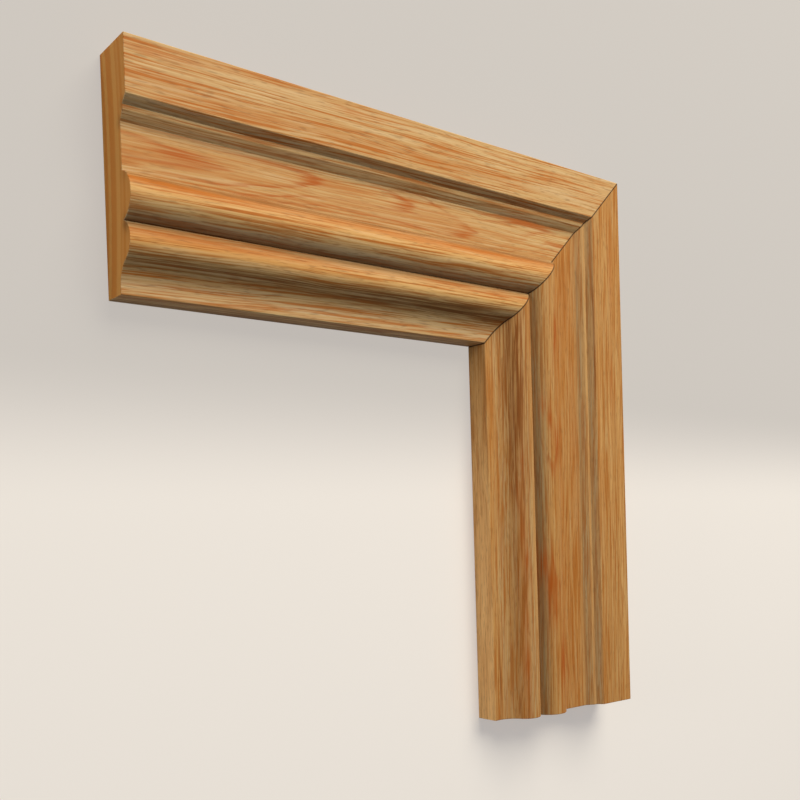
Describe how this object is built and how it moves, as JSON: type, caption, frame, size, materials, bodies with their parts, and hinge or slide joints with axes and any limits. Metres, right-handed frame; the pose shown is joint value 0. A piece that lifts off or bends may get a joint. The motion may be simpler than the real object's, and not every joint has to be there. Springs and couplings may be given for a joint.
{
  "type": "mitred architrave moulding corner",
  "caption": "Oak architrave moulding corner: a head and a leg of one beaded, ogee section joined at a glued mitre, to trim the top corner of a door or window opening.",
  "frame": {"origin": "on the floor, under the middle of the square that the two lengths fill", "axes": "the part lies on its flat back: +Z out of the moulded face, +X along the head from its free end to the mitre, +Y along the leg from its free end to the mitre"},
  "size_m": [0.3, 0.3, 0.025],
  "materials": {
    "clear_finished_oak": "clear satin lacquer over honey-coloured oak"
  },
  "bodies": {
    "root": {"architrave_head": "clear_finished_oak", "architrave_leg": "clear_finished_oak"}
  },
  "joints": []
}
